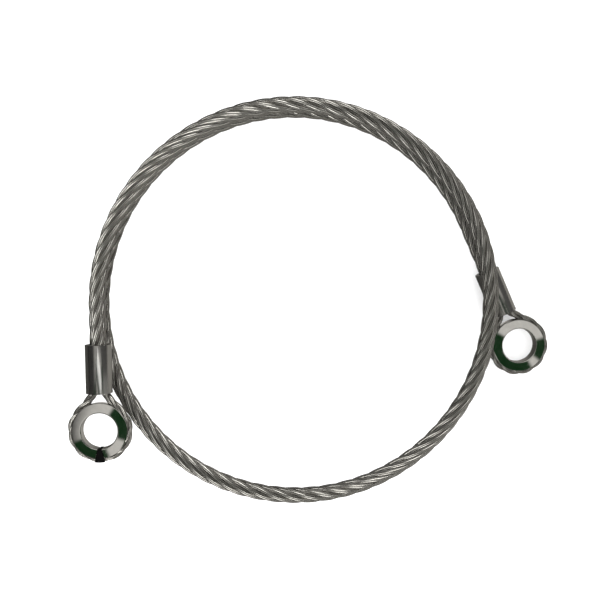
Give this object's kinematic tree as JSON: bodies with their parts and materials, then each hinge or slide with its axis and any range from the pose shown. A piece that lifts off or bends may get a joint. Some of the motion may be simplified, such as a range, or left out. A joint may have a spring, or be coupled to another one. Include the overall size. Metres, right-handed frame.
{
  "type": "cable lock",
  "caption": "Coiled wire-rope security cable with a pressed ferrule and a round grooved thimble eye at each end, for a bicycle's padlock or shackle.",
  "frame": {"origin": "under the middle of the bounding box, in the plane the coil lies on", "axes": "+Z is the coil's axis and points up, from eye B underneath to eye A on top; +X runs across the coil from eye A's side to eye B's side"},
  "size_m": [0.242, 0.2018, 0.0316],
  "materials": {
    "strand": "drawn bright stainless wire, with dark oily gaps between the strands",
    "core": "the same wire, dull and oily inside the rope",
    "eye_strand": "fine drawn stainless wire",
    "ferrule": "pressed plain sleeve, satin",
    "thimble": "turned and polished ring, near mirror",
    "keeper": "black moulded plastic"
  },
  "bodies": {
    "end_a": {"end_a_core": "core", "end_a_strand_1": "strand", "end_a_strand_2": "strand", "end_a_strand_3": "strand", "end_a_strand_4": "strand", "end_a_strand_5": "strand", "end_a_strand_6": "strand", "ferrule_a": "ferrule", "thimble_a": "thimble", "keeper_wedge_a": "keeper", "eye_a_strand_1": "eye_strand", "eye_a_strand_2": "eye_strand", "eye_a_strand_3": "eye_strand"},
    "coil_1": {"coil_1_core": "core", "coil_1_strand_1": "strand", "coil_1_strand_2": "strand", "coil_1_strand_3": "strand", "coil_1_strand_4": "strand", "coil_1_strand_5": "strand", "coil_1_strand_6": "strand"},
    "coil_2": {"coil_2_core": "core", "coil_2_strand_1": "strand", "coil_2_strand_2": "strand", "coil_2_strand_3": "strand", "coil_2_strand_4": "strand", "coil_2_strand_5": "strand", "coil_2_strand_6": "strand"},
    "coil_3": {"coil_3_core": "core", "coil_3_strand_1": "strand", "coil_3_strand_2": "strand", "coil_3_strand_3": "strand", "coil_3_strand_4": "strand", "coil_3_strand_5": "strand", "coil_3_strand_6": "strand"},
    "coil_4": {"coil_4_core": "core", "coil_4_strand_1": "strand", "coil_4_strand_2": "strand", "coil_4_strand_3": "strand", "coil_4_strand_4": "strand", "coil_4_strand_5": "strand", "coil_4_strand_6": "strand"},
    "coil_5": {"coil_5_core": "core", "coil_5_strand_1": "strand", "coil_5_strand_2": "strand", "coil_5_strand_3": "strand", "coil_5_strand_4": "strand", "coil_5_strand_5": "strand", "coil_5_strand_6": "strand"},
    "end_b": {"end_b_core": "core", "end_b_strand_1": "strand", "end_b_strand_2": "strand", "end_b_strand_3": "strand", "end_b_strand_4": "strand", "end_b_strand_5": "strand", "end_b_strand_6": "strand", "ferrule_b": "ferrule", "thimble_b": "thimble", "eye_b_strand_1": "eye_strand", "eye_b_strand_2": "eye_strand", "eye_b_strand_3": "eye_strand"}
  },
  "joints": [
    {"name": "bend_3_4", "type": "hinge", "parent": "coil_3", "child": "coil_4", "pos_m": [-0.07579, -0.0722, 0.01403], "axis": [0, 0, 1], "range_deg": [-12, 30], "stiffness_Nm_per_rad": 0.25},
    {"name": "bend_4_5", "type": "hinge", "parent": "coil_4", "child": "coil_5", "pos_m": [-0.06403, 0.08106, 0.01055], "axis": [0, 0, 1], "range_deg": [-12, 30], "stiffness_Nm_per_rad": 0.25},
    {"name": "bend_3_2", "type": "hinge", "parent": "coil_3", "child": "coil_2", "pos_m": [0.07583, -0.0453, 0.01751], "axis": [0, 0, 1], "range_deg": [-30, 12], "stiffness_Nm_per_rad": 0.25},
    {"name": "bend_2_1", "type": "hinge", "parent": "coil_2", "child": "coil_1", "pos_m": [0.01205, 0.09459, 0.02099], "axis": [0, 0, 1], "range_deg": [-30, 12], "stiffness_Nm_per_rad": 0.25},
    {"name": "end_a_lift", "type": "hinge", "parent": "coil_1", "child": "end_a", "pos_m": [-0.10691, -0.00161, 0.02447], "axis": [-0.9998, -0.0221, 0], "range_deg": [-2, 45], "stiffness_Nm_per_rad": 0.25},
    {"name": "end_b_drop", "type": "hinge", "parent": "coil_5", "child": "end_b", "pos_m": [0.08122, 0.03178, 0.00707], "axis": [0.9082, 0.4184, 0], "range_deg": [0, 45], "stiffness_Nm_per_rad": 0.25}
  ],
  "couplings": [
    {"joint": "bend_4_5", "follows": "bend_3_4", "ratio": 1},
    {"joint": "bend_3_2", "follows": "bend_3_4", "ratio": -1},
    {"joint": "bend_2_1", "follows": "bend_3_4", "ratio": -1}
  ]
}
